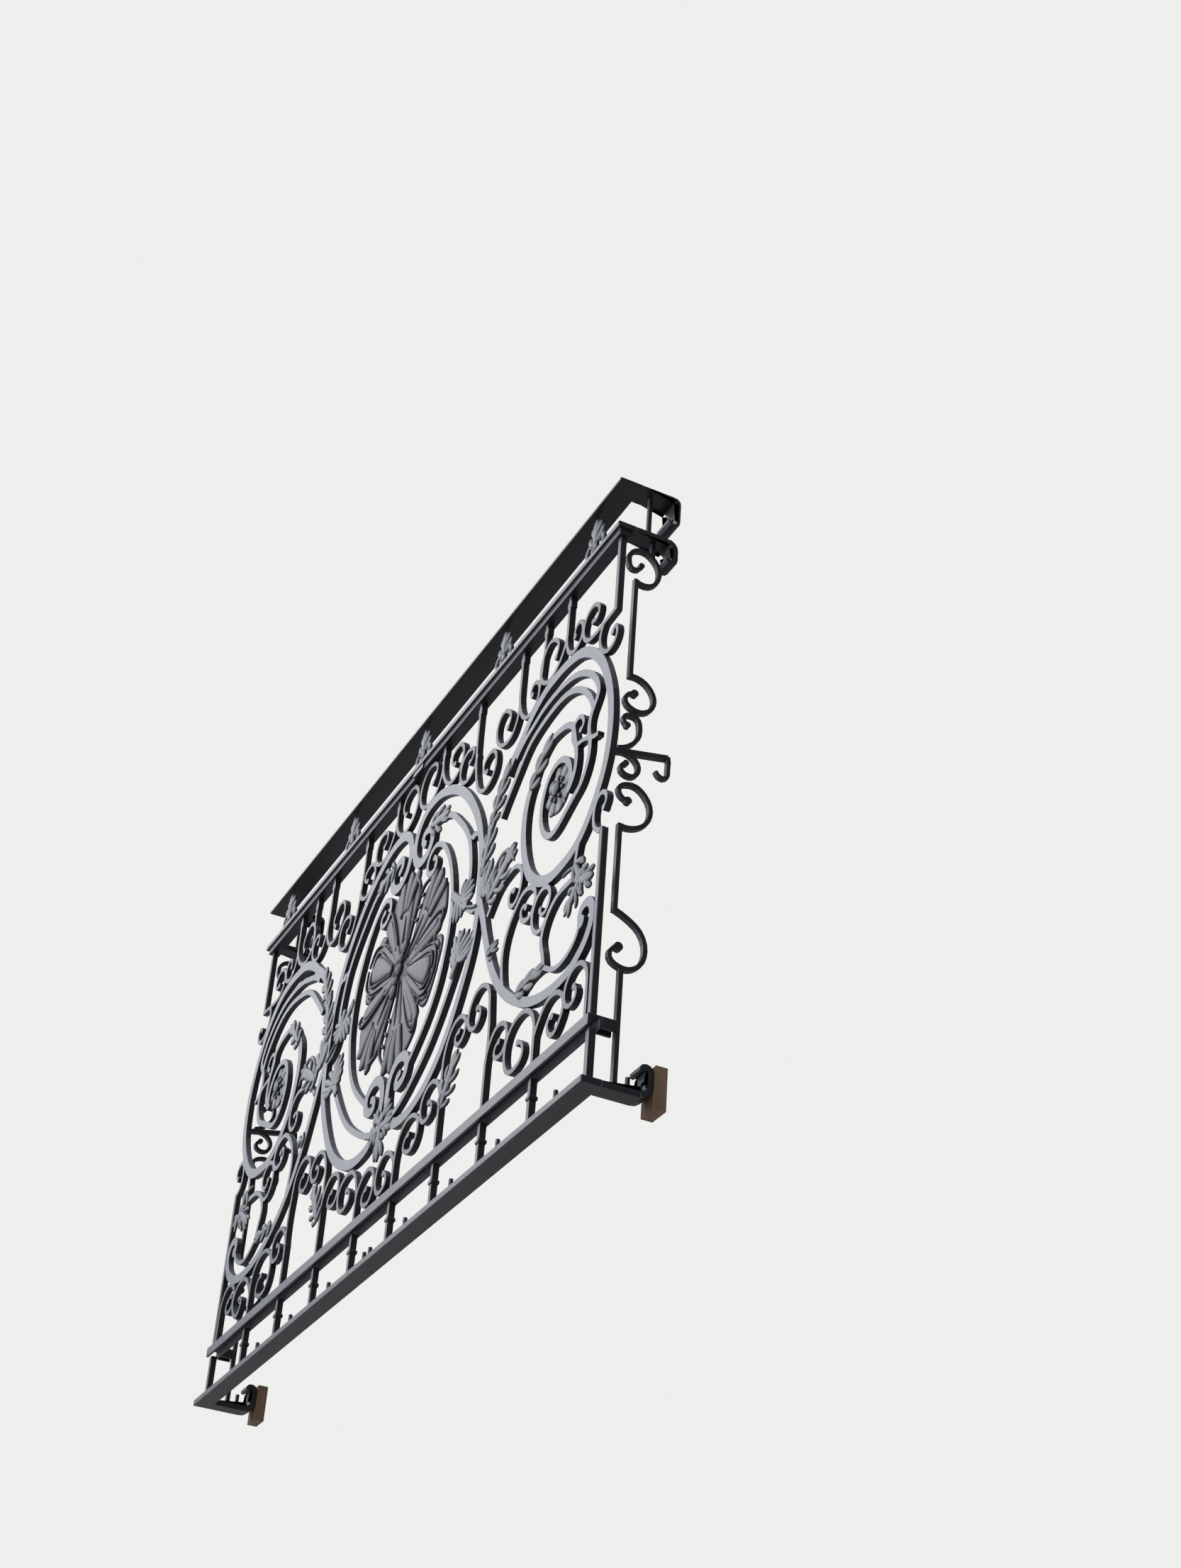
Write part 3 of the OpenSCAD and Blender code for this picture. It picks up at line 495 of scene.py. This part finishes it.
# Oval flowers: a round cast flower in the eye of each oval, with a beaded middle and a second row
# of narrow petals between the broad ones.
flower_x = 696.0
flower_z = 660.0
petals = 16
beads = 8
bead_ring = 22.0
for hand, name in ((1, "right"), (-1, "left")):
    flower = bmesh.new()
    for petal in range(petals):
        turn = math.radians(petal * 360.0 / petals + 10.0)
        broad = petal % 2 == 0
        line = [(hand * flower_x + reach * math.cos(turn), flower_z + reach * math.sin(turn))
                for reach in (8, 28, 51 if broad else 47)]
        strip(flower, set_out, line, 30 if broad else 15, 4.5, base=-6.0 if broad else -8.0, waist=0.35,
              fullness=0.75, vein=1.8, sides=5, thickness=3.4)
    button(flower, (hand * flower_x, flower_z, 0.0), 14.0, 7.0)
    for bead in range(beads):
        turn = math.radians(bead * 360.0 / beads + 32.0)
        x = hand * flower_x + bead_ring * math.cos(turn)
        button(flower, (x, flower_z + bead_ring * math.sin(turn), -2.0), 4.5, 4.5, 12)
    cast_piece("oval_flower_casting_" + name, flower, leaf_paint, "oval_flower_" + name)

# Florets: five cast buds that hold the handrail off the upper rail. Each has a blunt bud over two
# rolled curls with open eyes, a leaf to each side at its foot, and is pinned top and bottom.
floret_pitch = 395.0
# the line, width and waist of the leaf, curl and lobes to one side
floret_side = (
    (((2, 1111), (20, 1112), (37, 1121)), 15, 0.5),
    (((4, 1114), (24, 1122), (34, 1140), (24, 1154), (13, 1146)), 14, 0.8),
    (((5, 1150), (20, 1158), (27, 1176)), 19, 0.5),
    (((4, 1166), (13, 1178), (16, 1194)), 16, 0.5))
for place, name in ((-2, "far_left"), (-1, "left"), (0, "centre"), (1, "right"), (2, "far_right")):
    bud = bmesh.new()
    x = floret_pitch * place
    strip(bud, set_out, ((x, 1146), (x, 1172), (x, 1203)), 34, 8.0, waist=0.5, fullness=0.6, vein=1.5)
    strip(bud, set_out, ((x, 1108), (x, 1132), (x, 1158)), 21, 7.0, waist=0.8, fullness=0.6, vein=1.5)
    for side in (-1, 1):
        for line, width, waist in floret_side:
            drawn = [(x + side * across, height) for across, height in line]
            strip(bud, set_out, drawn, width, 6.0, waist=waist, fullness=0.75, vein=1.0, droop=1.5)
    button(bud, (x, 1126.0, 3.0), 9.0, 7.0, 16)
    cast_piece("floret_casting_" + name, bud, leaf_paint, "floret_" + name)


# Bar collars: a small iron collar is shrunk on each of the short bars between the frame and the
# lower rail, a third of the way up. It is wider than the bar and has rounded edges.
collars = bmesh.new()
middle_bay = 183.0
bar_pitch = 196.5
collar_size = (16.0, 17.0, 8.0)
collar_z = 69.0
collar_depth = -6.0
for bar in range(4):
    for hand in (1, -1):
        made = bmesh.ops.create_cube(collars, size=0.001)["verts"]
        bmesh.ops.scale(collars, verts=made, vec=collar_size)
        x = hand * (middle_bay / 2.0 + bar * bar_pitch)
        bmesh.ops.translate(collars, verts=made, vec=set_out(x, collar_z, collar_depth))
        bmesh.ops.bevel(
            collars, geom=list({edge for corner in made for edge in corner.link_edges}), offset=0.0024,
            affect="EDGES", segments=3, profile=0.5, material=-1)
bar_collars = finished("bar_collars", collars, scroll_paint)
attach(bar_collars, "root")


# Frame bolts: the threaded ends of iron bolts stand up through the bottom frame, about midway
# between its bars, and one more on each return. Each has a hexagon nut at its foot.
bolts = bmesh.new()
frame_top = 12.0
front_bolts = [(x, 2.0) for x in (791, 576, 388, 190, 28, 0, -177, -379, -566)]
return_bolts = [(hold_x, -72.0), (-hold_x, -72.0)]
# sides, radius and height
nut_and_thread = ((6, 7.2, 6.5), (16, 4.0, 25.0))
for x, depth in front_bolts + return_bolts:
    for sides, radius, height in nut_and_thread:
        made = bmesh.ops.create_cone(
            bolts, cap_ends=True, segments=sides, radius1=radius / 1000.0, radius2=radius / 1000.0,
            depth=height / 1000.0)["verts"]
        rim = {edge for corner in made for edge in corner.link_edges
               if all(end.co.z > 0.0 for end in edge.verts)}
        shaped = bmesh.ops.bevel(
            bolts, geom=list(rim), offset=0.0009, affect="EDGES", segments=2, profile=0.5,
            material=-1)["verts"]
        bmesh.ops.translate(
            bolts, verts=list({corner for corner in (*made, *shaped) if corner.is_valid}),
            vec=set_out(x, frame_top + height / 2.0, depth))
frame_bolts = finished("frame_bolts", bolts, rail_paint)
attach(frame_bolts, "root")


# Studio: a pale floor below the balcony and a plain pale surround, lit softly from the street side
# and above. To the view the floor is partly aglow, so that it stays pale far from the lamps.
pale_white = (0.86, 0.86, 0.85, 1.0)
floor_middle = (-0.9, 0.0, -1.75)
floor_reach = 60.0


def pale_to_view(look, lit, glow, share, end):
    """Lays a share of pale white over the lit floor or surround, for the view alone."""
    white = look.node(glow, {}, {"Color": pale_white, "Strength": 1.0})
    seen = look.node("LightPath", {}, {}, "Is Camera Ray") * share
    laid = look.node("MixShader", {}, {"Fac": seen, 1: lit, 2: white})
    look.tree.links.new(laid.socket, look.tree.nodes[end].inputs["Surface"])


floor_mesh = bmesh.new()
bmesh.ops.create_grid(
    floor_mesh, x_segments=1, y_segments=1, size=floor_reach, matrix=Matrix.Translation(floor_middle))
pale = Finish(bpy.data.materials.new("pale_floor"))
floor = finished("floor", floor_mesh, pale.surface(Base_Color=(0.78, 0.78, 0.77, 1.0), Roughness=0.9))
lit_floor = Value(pale, pale.tree.nodes["Principled BSDF"].outputs[0])
pale_to_view(pale, lit_floor, "Emission", 0.7, "Material Output")

surround = Finish(bpy.data.worlds.new("surround"))
scene.world = surround.material
lit_sky = surround.node("Background", {}, {"Color": (0.80, 0.84, 0.90, 1.0), "Strength": 0.4})
pale_to_view(surround, lit_sky, "Background", 1.0, "World Output")


middle = (-0.9, -0.1, 0.55)


def lamp(name, place, size, power):
    """A round soft lamp, turned to the middle of the balcony."""
    light = bpy.data.lights.new(name, "AREA")
    light.shape = "DISK"
    light.size = size
    light.energy = power
    made = bpy.data.objects.new(name, light)
    made.matrix_world = Matrix.Translation(place) @ (
        Vector(middle) - Vector(place)).to_track_quat("-Z", "Y").to_matrix().to_4x4()
    scene.collection.objects.link(made)


lamp("sky_left", (-5.2, -3.2, 4.0), 5.0, 210.0)
lamp("sky_front", (0.5, -5.5, 2.8), 4.0, 90.0)
lamp("fill_right", (4.5, -1.5, 0.6), 3.0, 25.0)
